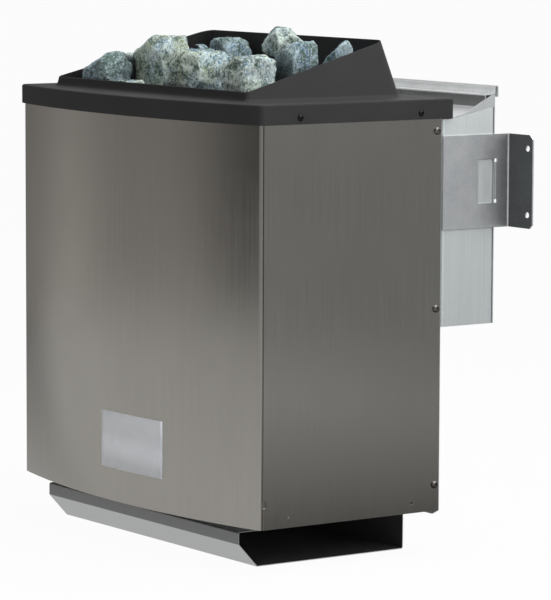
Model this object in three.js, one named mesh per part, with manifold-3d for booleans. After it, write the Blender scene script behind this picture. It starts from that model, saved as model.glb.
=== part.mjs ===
// A wall-hung electric sauna heater, in millimetres, +Z up. The front faces -Y, the wall is
// towards +Y, and Z starts under the air trough. Brushed casing panels stand round a sheet
// shaft that holds three tubular elements and a grate of stones, under a black frame with a
// raised hood. An open-ended trough below feeds the shaft with air, and a flat duct with two
// wall brackets closes the back.
import * as THREE from 'three';
import { mergeVertices } from 'three/addons/utils/BufferGeometryUtils.js';
import Module from 'manifold-3d';

const wasm = await Module();
wasm.setup();

// Sheets and fits
const SHEET = 1;
const FRAME_SHEET = 1.5;
const BRACKET_SHEET = 2;
const FIT = 0.3;
const SHEET_BEND = 2.5;
const BEND_STEPS = 4;
const MITRE_LIMIT = Math.PI / 9;
const CURVE_STEPS = 8;
const ROUND_SIDES = 18;

// Casing: two flat side panels and a front panel that swells forward
const CASING_WIDTH = 520;
const CASING_DEPTH = 253;
const CASING_HEIGHT = 480.5;
const FRONT_BOW = 30;
const FRONT_BEND = 4;
const FRONT_RETURN = 18;
const FRONT_STEPS = 20;
const NOTCH_RADIUS = 4.5;
const NOTCH_HEIGHT = 29;
const PANEL_SCREW_RADIUS = 2.1;
const PANEL_SCREW_INSET = 6;
const PANEL_SCREW_LOW = 31;
const PANEL_SCREW_TOP = 14;
const RAIL_SCREW_RADIUS = 1.8;
const RAIL_SCREW_HEIGHT = 12;

// Rear panel, a tray that the side panels are screwed to
const REAR_STAND = 3;
const REAR_FLANGE_GAP = 2;
const REAR_DROP = 6.5;
const REAR_CHAMFER = 13;

// Top frame with the raised hood round the stones
const SKIRT_HEIGHT = 23.2;
const SKIRT_GAP = 1.5;
const FRAME_REAR_OVERHANG = 16.5;
const FRAME_CORNER = 5;
const FRAME_EDGE = 2.5;
const HOOD_SIDE_MARGIN = 49;
const HOOD_FRONT_MARGIN = 14.7;
const HOOD_REAR_MARGIN = 17;
const HOOD_LIP = 11;
const HOOD_HEIGHT = 65.5;
const HOOD_CORNER = 6;
const HOOD_REAR_CORNER = 17;
const HOOD_FILLET = 4;
const HOOD_SIDE_LEAN = 18.2;
const HOOD_FRONT_LEAN = 6;
const HOOD_REAR_LEAN = 9.5;
const CORNER_STEPS = 4;

// Air trough and the two rails that carry it
const TROUGH_HEIGHT = 43;
const TROUGH_GAP = 9;
const TROUGH_SIDE_MARGIN = 50;
const TROUGH_FRONT_INSET = 4;
const TROUGH_REAR_INSET = 14;
const TROUGH_FACE = 15;
const TROUGH_SLOPE_RUN = 25.5;
const TROUGH_RETURN = 51;
const TROUGH_LAP = 23;
const RAIL_LIFT = 2;
const RAIL_HEIGHT = 26;
const FRONT_RAIL_DEPTH = 30;
const REAR_RAIL_DEPTH = 48;

// Shaft, stone grate and its ledges
const SHAFT_FLANGE = 12;
const SHAFT_SIDE_GAP = 6;
const SHAFT_FRONT_GAP = 3.8;
const GRATE_DROP = 77.5;
const ROD_RADIUS = 4;
const ROD_SIDES = 8;
const ROD_PITCH = 25;
const ROD_WELD = 1.5;
const BAR_WIDTH = 5;
const BAR_HEIGHT = 12;
const BAR_SPREAD = 120;
const LEDGE_REACH = 15;
const LEDGE_LEG = 20;

// Heating elements, each a flat loop whose two legs stand in the terminal box
const ELEMENT_COUNT = 3;
const ELEMENT_RADIUS = 4;
const ELEMENT_PITCH = 54;
const ELEMENT_SIDE_GAP = 16;
const ELEMENT_TOP_GAP = 40;
const ELEMENT_LIFT = 65;
const ELEMENT_LEG_SPACING = 50;
const ELEMENT_LEG_BEND = 25;
const ELEMENT_PIN = 30;
const ELEMENT_STEPS = 84;
const ELEMENT_SIDES = 4;
const COMB_HEIGHT = 22;
const COMB_SPREAD = 240;
const INSULATOR_RADIUS = 8;
const INSULATOR_HEIGHT = 12;
const INSULATOR_TAPER = 4;

// Terminal box, terminal block and cable gland
const TERMINAL_WIDTH = 140;
const TERMINAL_HEIGHT = 70;
const TERMINAL_FRONT_LAP = 20;
const BLOCK_LENGTH = 84;
const BLOCK_WIDTH = 26;
const BLOCK_HEIGHT = 22;
const BLOCK_POLES = 5;
const BLOCK_GROOVE_WIDTH = 9;
const BLOCK_GROOVE_DEPTH = 8;
const GLAND_HEIGHT = 35;
const GLAND_THREAD_RADIUS = 10;
const GLAND_BORE_RADIUS = 5;
const GLAND_SHANK = 14;
const GLAND_HEX_RADIUS = 14.5;
const GLAND_HEX_HEIGHT = 6;
const GLAND_DOME_RADIUS = 12.5;
const GLAND_DOME_LENGTH = 16;
const LOCKNUT_HEIGHT = 5;

// Rear duct: two cheeks, a back sheet and the rail that turns the warm air off the wall
const DUCT_DEPTH = 79;
const DUCT_BOTTOM = 216;
const DUCT_FLANGE = 15;
const DUCT_SIDE_INSET = 2;
const DUCT_TOP_RISE = 13;
const DEFLECTOR_LEDGE_HEIGHT = 485;
const DEFLECTOR_LEDGE_DEPTH = 13;
const DEFLECTOR_LIP = 10;
const DEFLECTOR_HOOK = 3.5;
const DEFLECTOR_HOOK_DROP = 12.5;
const DEFLECTOR_CAP_START = 17;
const DEFLECTOR_CAP_INSET = 3;
const DEFLECTOR_HOLE_RADIUS = 3.5;
const DEFLECTOR_HOLE_PITCH = 48.4;

// Wall brackets
const BRACKET_WALL_GAP = 101;
const BRACKET_HEIGHT = 110;
const BRACKET_BOTTOM = 329.5;
const BRACKET_FLANGE = 47;
const BRACKET_BEND = 4;
const BRACKET_CHAMFER = 5;
const BRACKET_HOLE_RADIUS = 3.5;
const BRACKET_HOLE_EDGE = 9;
const BRACKET_HOLE_END = 16;
const WINDOW_WIDTH = 28;
const WINDOW_HEIGHT = 52;
const TAB_LENGTH = 20;
const TAB_RELIEF = 4;

// Stones: each one's length, width and height are multiples of the usual size. A split is a bearing
// and a slope in degrees, and the part of the block's reach that stays.
const STONE_SIZE = 60;
const STONE_SPLITS = 11;
const STONE_STEEPEST = 62;
const STONE_DEEPEST = 0.7;
const UNDERSIDE = [[30, -42, 0.8], [150, -38, 0.82], [270, -45, 0.8]];
const FIRST_BEARING = 55;
const STONE_GAP = 0.35;
const STONE_WALL_GAP = 2;
const LOWER_STONE_COLUMNS = 4;
const LOWER_STONE_ROWS = 2;
const LOWER_STONE = { length: 1.34, width: 1.25, height: 1.1 };
const LOWER_STONE_TURN = 7;
const SEARCH_GRID = 32;
const SEARCH_END = 0.005;
const UPRIGHT = 1e-6;

// Levels and planes that several pieces share
const half = CASING_WIDTH / 2;
const panelInner = half - SHEET;
const seatX = panelInner - FIT;
const casingZ = TROUGH_HEIGHT + TROUGH_GAP;
const casingTop = casingZ + CASING_HEIGHT;
const frameTop = casingTop + FIT + FRAME_EDGE;
const skirtZ = frameTop - SKIRT_HEIGHT;
const rearY = CASING_DEPTH + REAR_STAND;
const rearInnerY = rearY - SHEET;
const frameRear = CASING_DEPTH + FRAME_REAR_OVERHANG;
const hoodHalf = half - HOOD_SIDE_MARGIN;
const hoodFront = HOOD_FRONT_MARGIN;
const hoodRear = CASING_DEPTH - HOOD_REAR_MARGIN;
const railZ = casingZ + RAIL_LIFT;
const railTop = railZ + RAIL_HEIGHT;
const troughFront = TROUGH_FRONT_INSET;
const troughRear = CASING_DEPTH - TROUGH_REAR_INSET;
const troughLipY = troughFront + TROUGH_RETURN;
const troughLapTop = railZ + TROUGH_LAP;
const frontWebY = troughLipY - FIT;
const rearWebY = troughRear - SHEET - FIT;
const railScrewY = [frontWebY - FRONT_RAIL_DEPTH / 2, rearWebY - REAR_RAIL_DEPTH / 2];
const railScrewZ = casingZ + RAIL_SCREW_HEIGHT;
const panelScrewY = CASING_DEPTH - PANEL_SCREW_INSET;
const panelScrewLow = casingZ + PANEL_SCREW_LOW;
const panelScrewHigh = skirtZ - PANEL_SCREW_TOP;
const panelScrewZ = [panelScrewLow, (panelScrewLow + panelScrewHigh) / 2, panelScrewHigh];
const boxBottom = railTop + FIT;
const boxTop = boxBottom + TERMINAL_HEIGHT;
const boxFront = frontWebY - TERMINAL_FRONT_LAP;
const boxRear = rearInnerY - FIT;
const glandZ = boxBottom + GLAND_HEIGHT;
const shaftHalf = hoodHalf - FRAME_SHEET - SHAFT_SIDE_GAP;
const shaftFront = hoodFront + FRAME_SHEET + SHAFT_FRONT_GAP;
const shaftRear = hoodRear - FRAME_SHEET;
const shaftMid = (shaftFront + shaftRear) / 2;
const shaftTop = frameTop - FRAME_SHEET - FIT;
const shaftFlangeFront = shaftFront + FIT;
const shaftFlangeRear = shaftRear - FIT;
const innerFront = shaftFlangeFront + SHEET_BEND + FIT;
const innerRear = shaftFlangeRear - SHEET_BEND - FIT;
const grateTop = frameTop - GRATE_DROP;
const rodZ = grateTop - ROD_RADIUS;
const barTop = rodZ - ROD_RADIUS + ROD_WELD;
const barBottom = barTop - BAR_HEIGHT;
const ledgeTop = barBottom - FIT;
const elementLow = boxTop + ELEMENT_LIFT;
const elementHigh = barBottom - ELEMENT_TOP_GAP;
const ductHalf = half - DUCT_SIDE_INSET;
const ductFront = rearY + FIT;
const ductRear = CASING_DEPTH + DUCT_DEPTH;
const ductBottom = casingZ + DUCT_BOTTOM;
const ductTopFront = skirtZ - SHEET;
const deflectorFront = frameRear + SHEET;
const deflectorStep = ductRear - DEFLECTOR_LEDGE_DEPTH;
const deflectorLedge = casingZ + DEFLECTOR_LEDGE_HEIGHT;
const wallY = CASING_DEPTH + BRACKET_WALL_GAP;
const bracketZ = casingZ + BRACKET_BOTTOM;

// Finishes
const FINISHES = {
  stainless: { color: '#8f8d88', roughness: 0.35, metalness: 1 },
  black: { color: '#2e2e2f', roughness: 0.6, metalness: 0.1 },
  aluzinc: { color: '#b4b7b7', roughness: 0.4, metalness: 1 },
  galvanised: { color: '#9b9c9c', roughness: 0.45, metalness: 1 },
  sheath: { color: '#4a4744', roughness: 0.5, metalness: 1 },
  ceramic: { color: '#e8e2d4', roughness: 0.5, metalness: 0 },
  polyamide: { color: '#3a3b3d', roughness: 0.5, metalness: 0 },
  stone: { color: '#8fa09c', roughness: 0.9, metalness: 0 },
};

const heater = new THREE.Group();

function piece(name, geometry, finish) {
  const mesh = new THREE.Mesh(geometry, new THREE.MeshStandardMaterial(FINISHES[finish]));
  mesh.name = name;
  heater.add(mesh);
}

// The right-hand piece and its mirror image on the left.
function pair(name, geometry, finish) {
  piece(`${name}_right`, geometry, finish);
  piece(`${name}_left`, mirrored(geometry), finish);
}

function mirrored(geometry) {
  const copy = bareMesh(geometry);
  copy.scale(-1, 1, 1);
  const corners = copy.index.array;
  for (let i = 0; i < corners.length; i += 3) {
    [corners[i], corners[i + 1]] = [corners[i + 1], corners[i]];
  }
  return copy;
}

// Positions only, with shared corners merged.
function bareMesh(geometry) {
  const copy = geometry.clone();
  for (const name of Object.keys(copy.attributes)) {
    if (name !== 'position') copy.deleteAttribute(name);
  }
  return mergeVertices(copy);
}

function toSolid(geometry) {
  const mesh = bareMesh(geometry);
  const vertProperties = new Float32Array(mesh.attributes.position.array);
  const triVerts = new Uint32Array(mesh.index.array);
  return new wasm.Manifold(new wasm.Mesh({ numProp: 3, vertProperties, triVerts }));
}

function toGeometry(solid) {
  const mesh = solid.getMesh();
  const geometry = new THREE.BufferGeometry();
  geometry.setAttribute('position', new THREE.BufferAttribute(mesh.vertProperties, 3));
  geometry.setIndex(new THREE.BufferAttribute(mesh.triVerts, 1));
  return geometry;
}

function join(...geometries) {
  const solids = geometries.map(toSolid);
  return toGeometry(solids.reduce((whole, solid) => whole.add(solid)));
}

function cut(geometry, ...tools) {
  return toGeometry(tools.reduce((whole, tool) => whole.subtract(toSolid(tool)), toSolid(geometry)));
}

function box(x0, x1, y0, y1, z0, z1) {
  const geometry = new THREE.BoxGeometry(x1 - x0, y1 - y0, z1 - z0);
  return geometry.translate((x0 + x1) / 2, (y0 + y1) / 2, (z0 + z1) / 2);
}

function extruded(shape, length) {
  const settings = { depth: length, bevelEnabled: false, curveSegments: CURVE_STEPS };
  return new THREE.ExtrudeGeometry(shape, settings);
}

// A plan outline (x, y) raised from z0 to z1.
function raised(shape, z0, z1) {
  return extruded(shape, z1 - z0).translate(0, 0, z0);
}

// A side outline (y, z) carried across from x0 to x1.
function acrossX(shape, x0, x1) {
  const axes = [new THREE.Vector3(0, 1, 0), new THREE.Vector3(0, 0, 1), new THREE.Vector3(1, 0, 0)];
  return extruded(shape, x1 - x0).applyMatrix4(new THREE.Matrix4().makeBasis(...axes)).translate(x0, 0, 0);
}

// A front outline (x, z) carried back from y0 to y1.
function acrossY(shape, y0, y1) {
  const axes = [new THREE.Vector3(1, 0, 0), new THREE.Vector3(0, 0, 1), new THREE.Vector3(0, -1, 0)];
  return extruded(shape, y1 - y0).applyMatrix4(new THREE.Matrix4().makeBasis(...axes)).translate(0, y1, 0);
}

function outline(...corners) {
  return new THREE.Shape(corners.map(([a, b]) => new THREE.Vector2(a, b)));
}

function circleHole(a, b, radius) {
  return new THREE.Path().absarc(a, b, radius, 0, 2 * Math.PI);
}

function pinX(x0, x1, y, z, radius) {
  const shape = new THREE.Shape().absarc(y, z, radius, 0, 2 * Math.PI);
  return acrossX(shape, x0, x1);
}

function pinY(y0, y1, x, z, radius) {
  const shape = new THREE.Shape().absarc(x, z, radius, 0, 2 * Math.PI);
  return acrossY(shape, y0, y1);
}

function pinZ(z0, z1, x, y, radius) {
  const shape = new THREE.Shape().absarc(x, y, radius, 0, 2 * Math.PI);
  return raised(shape, z0, z1);
}

// The section of a sheet folded along a line of corners. The sheet lies to the left of the
// line, sharp corners get round bends of the given outside radius, and slight ones a mitre.
function foldedSheet(corners, thickness, bend) {
  const line = corners.map(([a, b]) => new THREE.Vector2(a, b));
  const face = [];
  const back = [];
  const put = (point, left, reach = thickness) => {
    face.push(point);
    back.unshift(point.clone().addScaledVector(left, reach));
  };
  const heading = (i) => line[i + 1].clone().sub(line[i]).normalize();
  const leftOf = (way) => new THREE.Vector2(-way.y, way.x);
  put(line[0], leftOf(heading(0)));
  for (let i = 1; i < line.length - 1; i++) {
    const before = heading(i - 1);
    const after = heading(i);
    const turn = Math.atan2(before.cross(after), before.dot(after));
    if (Math.abs(turn) < MITRE_LIMIT) {
      put(line[i], leftOf(before).add(leftOf(after)).normalize(), thickness / Math.cos(turn / 2));
      continue;
    }
    const side = Math.sign(turn);
    const radius = side > 0 ? bend : bend - thickness;
    const start = line[i].clone().addScaledVector(before, -radius * Math.tan(Math.abs(turn) / 2));
    const centre = start.clone().addScaledVector(leftOf(before), side * radius);
    for (let k = 0; k <= BEND_STEPS; k++) {
      const left = leftOf(before).rotateAround(new THREE.Vector2(), turn * k / BEND_STEPS);
      put(centre.clone().addScaledVector(left, -side * radius), left);
    }
  }
  put(line[line.length - 1], leftOf(heading(line.length - 2)));
  return new THREE.Shape([...face, ...back]);
}

// How far the bowed front stands forward of its corners at a distance from the middle.
function swell(x) {
  const radius = (half * half + FRONT_BOW * FRONT_BOW) / (2 * FRONT_BOW);
  return Math.sqrt(radius * radius - x * x) - radius + FRONT_BOW;
}

// Casing
function frontPanel() {
  const bow = [];
  for (let i = 0; i <= FRONT_STEPS; i++) {
    const x = seatX * (2 * i / FRONT_STEPS - 1);
    bow.push([x, -swell(x)]);
  }
  const line = [[-seatX, FRONT_RETURN], ...bow, [seatX, FRONT_RETURN]];
  return raised(foldedSheet(line, SHEET, FRONT_BEND), casingZ, casingTop);
}

function sidePanel() {
  const notchZ = casingZ + NOTCH_HEIGHT;
  const shape = new THREE.Shape();
  shape.moveTo(FRONT_BEND, casingZ);
  shape.lineTo(CASING_DEPTH, casingZ);
  shape.lineTo(CASING_DEPTH, casingTop);
  shape.lineTo(FRONT_BEND, casingTop);
  shape.lineTo(FRONT_BEND, notchZ + NOTCH_RADIUS);
  shape.absarc(FRONT_BEND, notchZ, NOTCH_RADIUS, Math.PI / 2, -Math.PI / 2, true);
  for (const y of railScrewY) shape.holes.push(circleHole(y, railScrewZ, RAIL_SCREW_RADIUS));
  for (const z of panelScrewZ) shape.holes.push(circleHole(panelScrewY, z, PANEL_SCREW_RADIUS));
  return acrossX(shape, panelInner, half);
}

function rearPanel() {
  const bottom = casingZ - REAR_DROP;
  const front = rearWebY + REAR_FLANGE_GAP;
  const line = [[seatX, front], [seatX, rearY], [-seatX, rearY], [-seatX, front]];
  const panel = raised(foldedSheet(line, SHEET, SHEET_BEND), bottom, casingTop);
  const inner = seatX - REAR_CHAMFER;
  const beyond = seatX + REAR_CHAMFER;
  const lift = 2 * REAR_DROP;
  const corner = outline(
    [inner, bottom],
    [inner, bottom - lift],
    [beyond, bottom - lift],
    [beyond, bottom + lift],
  );
  const chamfer = acrossY(corner, front - SHEET, rearY + SHEET);
  const gland = pinY(rearInnerY - SHEET, rearY + SHEET, 0, glandZ, GLAND_THREAD_RADIUS + FIT);
  const screws = panelScrewZ.map((z) => pinX(-half, half, panelScrewY, z, PANEL_SCREW_RADIUS));
  return cut(panel, chamfer, mirrored(chamfer), gland, ...screws);
}

// Rails across the base: the trough hangs on their webs, the shaft and terminal box stand on top.
function crossRail(webY, depth) {
  const section = foldedSheet([[webY, railZ], [webY, railTop], [webY - depth, railTop]], SHEET, SHEET_BEND);
  const near = SHEET / 2;
  const tab = acrossX(outline(
    [webY - depth, railZ],
    [webY - near, railZ],
    [webY - near, railTop - SHEET_BEND],
    [webY - SHEET_BEND, railTop - near],
    [webY - depth, railTop - near],
  ), seatX - SHEET, seatX);
  const screw = pinX(-half, half, webY - depth / 2, railScrewZ, RAIL_SCREW_RADIUS);
  return cut(join(acrossX(section, -seatX, seatX), tab, mirrored(tab)), screw);
}

function airTrough() {
  const reach = half - TROUGH_SIDE_MARGIN;
  const section = foldedSheet([
    [troughLipY, troughLapTop],
    [troughLipY, TROUGH_HEIGHT],
    [troughFront, TROUGH_HEIGHT],
    [troughFront, TROUGH_HEIGHT - TROUGH_FACE],
    [troughFront + TROUGH_SLOPE_RUN, 0],
    [troughRear, 0],
    [troughRear, troughLapTop],
  ], SHEET, SHEET_BEND);
  return acrossX(section, -reach, reach);
}

// Frame and hood
function frameLoop(outline) {
  const { frontHalf, rearHalf = frontHalf, front, rear, corner, rearCorner = corner, level } = outline;
  const loop = [];
  const put = (x, y) => loop.push(new THREE.Vector3(x, y, level(y)));
  const round = (x, y, radius, from, first) => {
    for (let k = first; k <= CORNER_STEPS; k++) {
      const angle = from + Math.PI / 2 * k / CORNER_STEPS;
      put(x + radius * Math.cos(angle), y + radius * Math.sin(angle));
    }
  };
  const reach = frontHalf - corner;
  for (let i = 0; i <= FRONT_STEPS; i++) {
    const x = reach * (2 * i / FRONT_STEPS - 1);
    put(x, front - (outline.bowed ? swell(x) : 0));
  }
  round(reach, front + corner, corner, -Math.PI / 2, 1);
  round(rearHalf - rearCorner, rear - rearCorner, rearCorner, 0, 0);
  round(rearCorner - rearHalf, rear - rearCorner, rearCorner, Math.PI / 2, 0);
  round(-reach, front + corner, corner, Math.PI, 0);
  loop.pop();
  return loop;
}

// A closed skin over loops of points, each joined to the next and the last to the first.
function loft(loops) {
  const count = loops[0].length;
  const corners = [];
  loops.forEach((loop, row) => {
    const next = (row + 1) % loops.length;
    for (let i = 0; i < count; i++) {
      const j = (i + 1) % count;
      const quad = [row * count + i, row * count + j, next * count + j, next * count + i];
      corners.push(quad[0], quad[1], quad[2], quad[0], quad[2], quad[3]);
    }
  });
  const geometry = new THREE.BufferGeometry().setFromPoints(loops.flat());
  return geometry.setIndex(corners);
}

const tangent = (degrees) => Math.tan(THREE.MathUtils.degToRad(degrees));

// The hood's four walls at a height over the frame, moved out by an offset.
function hoodAt(height, offset = 0) {
  return {
    half: hoodHalf + offset - height * tangent(HOOD_SIDE_LEAN),
    front: hoodFront - offset + height * tangent(HOOD_FRONT_LEAN),
    rear: hoodRear + offset - height * tangent(HOOD_REAR_LEAN),
  };
}

const hoodRimAt = (y) => {
  const front = hoodAt(HOOD_LIP).front;
  const rear = hoodAt(HOOD_HEIGHT).rear;
  return frameTop + HOOD_LIP + (HOOD_HEIGHT - HOOD_LIP) * (y - front) / (rear - front);
};

function topFrame() {
  const hoodCorners = (offset) => ({ corner: HOOD_CORNER + offset, rearCorner: HOOD_REAR_CORNER + offset });
  const skirt = (out, z) => frameLoop({
    frontHalf: half + FIT + SKIRT_GAP + out,
    front: -FIT - SKIRT_GAP - out,
    rear: frameRear - FRAME_SHEET + out,
    corner: FRAME_CORNER - FRAME_SHEET + out,
    bowed: true,
    level: () => z,
  });
  const wall = (height, offset, z) => {
    const { half: frontHalf, front, rear } = hoodAt(height, offset);
    return frameLoop({ frontHalf, front, rear, ...hoodCorners(offset), level: () => z });
  };
  const rim = (offset) => frameLoop({
    frontHalf: hoodAt(HOOD_LIP, offset).half,
    rearHalf: hoodAt(HOOD_HEIGHT, offset).half,
    front: hoodAt(HOOD_LIP, offset).front,
    rear: hoodAt(HOOD_HEIGHT, offset).rear,
    ...hoodCorners(offset),
    level: hoodRimAt,
  });
  const easing = 1 - Math.SQRT1_2;
  const under = frameTop - FRAME_SHEET;
  return loft([
    skirt(FRAME_SHEET, skirtZ),
    skirt(FRAME_SHEET, frameTop - FRAME_EDGE),
    skirt(FRAME_SHEET - FRAME_EDGE * easing, frameTop - FRAME_EDGE * easing),
    skirt(FRAME_SHEET - FRAME_EDGE, frameTop),
    wall(0, HOOD_FILLET, frameTop),
    wall(HOOD_FILLET * easing, HOOD_FILLET * easing, frameTop + HOOD_FILLET * easing),
    wall(HOOD_FILLET, 0, frameTop + HOOD_FILLET),
    rim(0),
    rim(-FRAME_SHEET),
    wall(0, -FRAME_SHEET, under),
    skirt(FRAME_SHEET - FRAME_EDGE, under),
    skirt(0, frameTop - FRAME_EDGE),
    skirt(0, skirtZ),
  ]);
}

// Shaft
function shaftSide() {
  const outer = shaftHalf + SHEET;
  const inner = outer - SHAFT_FLANGE;
  const front = shaftFlangeFront;
  const rear = shaftFlangeRear;
  const line = [[inner, front], [outer, front], [outer, rear], [inner, rear]];
  return raised(foldedSheet(line, SHEET, SHEET_BEND), railTop + FIT, shaftTop);
}

function shaftPlate(y0) {
  const reach = shaftHalf + SHEET;
  return box(-reach, reach, y0, y0 + SHEET, boxTop + FIT, shaftTop);
}

function grateLedge() {
  const outer = shaftHalf - FIT;
  const line = [[outer, ledgeTop - LEDGE_LEG], [outer, ledgeTop], [outer - LEDGE_REACH, ledgeTop]];
  return acrossY(foldedSheet(line, SHEET, SHEET_BEND), innerFront, innerRear);
}

const rodPlaces = [];
const rodReach = Math.floor((shaftHalf - ROD_PITCH / 2) / ROD_PITCH);
for (let k = -rodReach; k <= rodReach; k++) rodPlaces.push(k * ROD_PITCH);

function grateRod(x) {
  const rod = new THREE.CylinderGeometry(ROD_RADIUS, ROD_RADIUS, innerRear - innerFront, ROD_SIDES);
  return rod.rotateY(Math.PI / ROD_SIDES).translate(x, shaftMid, rodZ);
}

function stoneGrate() {
  const reach = shaftHalf - 2 * FIT - SHEET;
  const bars = [-1, 1].map((side) => {
    const y = shaftMid + side * BAR_SPREAD / 2;
    return box(-reach, reach, y - BAR_WIDTH / 2, y + BAR_WIDTH / 2, barBottom, barTop);
  });
  return join(...bars, ...rodPlaces.map(grateRod));
}

// Elements
class LevelRoute extends THREE.Curve {
  constructor(path, y) {
    super();
    this.path = path;
    this.y = y;
  }

  getPoint(t) {
    const point = this.path.getPoint(t);
    return new THREE.Vector3(point.x, this.y, point.y);
  }
}

const elementPlaces = [];
for (let k = 0; k < ELEMENT_COUNT; k++) {
  elementPlaces.push(shaftMid + ELEMENT_PITCH * (k - (ELEMENT_COUNT - 1) / 2));
}
const legReach = ELEMENT_LEG_SPACING / 2;
const legPlaces = elementPlaces.flatMap((y) => [-legReach, legReach].map((x) => [x, y]));

function heatingElement(y) {
  const leg = legReach;
  const foot = boxTop - ELEMENT_PIN;
  const bend = ELEMENT_LEG_BEND;
  const turn = (elementHigh - elementLow) / 2;
  const middle = elementLow + turn;
  const straight = shaftHalf - ELEMENT_SIDE_GAP - ELEMENT_RADIUS - turn;
  const quarter = Math.PI / 2;
  const path = new THREE.Path();
  path.moveTo(-leg, foot);
  path.lineTo(-leg, elementLow - bend);
  path.absarc(-leg - bend, elementLow - bend, bend, 0, quarter, false);
  path.lineTo(-straight, elementLow);
  path.absarc(-straight, middle, turn, -quarter, quarter, true);
  path.lineTo(straight, elementHigh);
  path.absarc(straight, middle, turn, quarter, -quarter, true);
  path.lineTo(leg + bend, elementLow);
  path.absarc(leg + bend, elementLow - bend, bend, quarter, Math.PI, false);
  path.lineTo(leg, foot);
  const section = new THREE.Shape().absarc(0, 0, ELEMENT_RADIUS, 0, 2 * Math.PI);
  return new THREE.ExtrudeGeometry(section, {
    steps: ELEMENT_STEPS,
    curveSegments: ELEMENT_SIDES,
    extrudePath: new LevelRoute(path, y),
  });
}

// A strip across the shaft with a notch under each element's lower run.
function elementComb() {
  const x = COMB_SPREAD / 2;
  const notch = ELEMENT_RADIUS + FIT;
  const shape = new THREE.Shape();
  shape.moveTo(shaftRear - FIT, elementLow);
  shape.lineTo(shaftRear - FIT, elementLow - COMB_HEIGHT);
  shape.lineTo(shaftFront + FIT, elementLow - COMB_HEIGHT);
  shape.lineTo(shaftFront + FIT, elementLow);
  for (const y of elementPlaces) {
    shape.lineTo(y - notch, elementLow);
    shape.absarc(y, elementLow, notch, Math.PI, 2 * Math.PI, false);
  }
  return acrossX(shape, x - SHEET, x + SHEET);
}

function insulator(x, y) {
  const bore = ELEMENT_RADIUS + FIT;
  const profile = [
    [bore, 0],
    [INSULATOR_RADIUS, 0],
    [INSULATOR_RADIUS, INSULATOR_HEIGHT - INSULATOR_TAPER],
    [bore + SHEET, INSULATOR_HEIGHT],
    [bore, INSULATOR_HEIGHT],
    [bore, 0],
  ];
  const ring = new THREE.LatheGeometry(profile.map(([r, h]) => new THREE.Vector2(r, h)), ROUND_SIDES);
  return ring.rotateX(Math.PI / 2).translate(x, y, boxTop + FIT);
}

// Terminal box
function terminalBox() {
  const reach = TERMINAL_WIDTH / 2;
  const shell = box(-reach, reach, boxFront, boxRear, boxBottom, boxTop);
  const inner = reach - SHEET;
  const inside = box(-inner, inner, boxFront + SHEET, boxRear - SHEET, boxBottom - SHEET, boxTop - SHEET);
  const gland = pinY(boxRear - 2 * SHEET, boxRear + SHEET, 0, glandZ, GLAND_THREAD_RADIUS + FIT);
  const legHole = ELEMENT_RADIUS + FIT;
  const legs = legPlaces.map(([x, y]) => pinZ(boxTop - 2 * SHEET, boxTop + SHEET, x, y, legHole));
  return cut(shell, inside, gland, ...legs);
}

function terminalCover() {
  const reach = TERMINAL_WIDTH / 2 - SHEET - FIT;
  return box(-reach, reach, boxFront + SHEET + FIT, rearWebY, boxBottom, boxBottom + SHEET);
}

function terminalBlock() {
  const z = boxBottom + SHEET + FIT;
  const y = shaftMid - BLOCK_WIDTH / 2;
  const block = box(-BLOCK_LENGTH / 2, BLOCK_LENGTH / 2, y, y + BLOCK_WIDTH, z, z + BLOCK_HEIGHT);
  const pitch = BLOCK_LENGTH / BLOCK_POLES;
  const top = z + BLOCK_HEIGHT;
  const grooves = [];
  for (let k = 0; k < BLOCK_POLES; k++) {
    const x = -BLOCK_LENGTH / 2 + pitch * (k + 0.5) - BLOCK_GROOVE_WIDTH / 2;
    const floor = top - BLOCK_GROOVE_DEPTH;
    grooves.push(box(x, x + BLOCK_GROOVE_WIDTH, y - SHEET, y + BLOCK_WIDTH + SHEET, floor, top + SHEET));
  }
  return cut(block, ...grooves);
}

function cableGland() {
  const tip = GLAND_HEX_HEIGHT + GLAND_DOME_LENGTH;
  const shoulder = tip - GLAND_DOME_RADIUS + GLAND_BORE_RADIUS + SHEET;
  const profile = [
    [0, -GLAND_SHANK],
    [GLAND_THREAD_RADIUS, -GLAND_SHANK],
    [GLAND_THREAD_RADIUS, 0],
    [GLAND_DOME_RADIUS, 0],
    [GLAND_DOME_RADIUS, shoulder],
    [GLAND_BORE_RADIUS + SHEET, tip],
    [0, tip],
  ];
  const body = new THREE.LatheGeometry(profile.map(([r, h]) => new THREE.Vector2(r, h)), ROUND_SIDES);
  const hex = new THREE.CylinderGeometry(GLAND_HEX_RADIUS, GLAND_HEX_RADIUS, GLAND_HEX_HEIGHT, 6);
  hex.translate(0, GLAND_HEX_HEIGHT / 2, 0);
  const length = 2 * (tip + GLAND_SHANK);
  const bore = new THREE.CylinderGeometry(GLAND_BORE_RADIUS, GLAND_BORE_RADIUS, length, ROUND_SIDES);
  return cut(join(body, hex), bore).translate(0, rearY + FIT, glandZ);
}

function glandLocknut() {
  const nut = new THREE.CylinderGeometry(GLAND_HEX_RADIUS, GLAND_HEX_RADIUS, LOCKNUT_HEIGHT, 6);
  const bore = GLAND_THREAD_RADIUS + FIT;
  const hole = new THREE.CylinderGeometry(bore, bore, 2 * LOCKNUT_HEIGHT, ROUND_SIDES);
  return cut(nut, hole).translate(0, boxRear - SHEET - FIT - LOCKNUT_HEIGHT / 2, glandZ);
}

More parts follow.
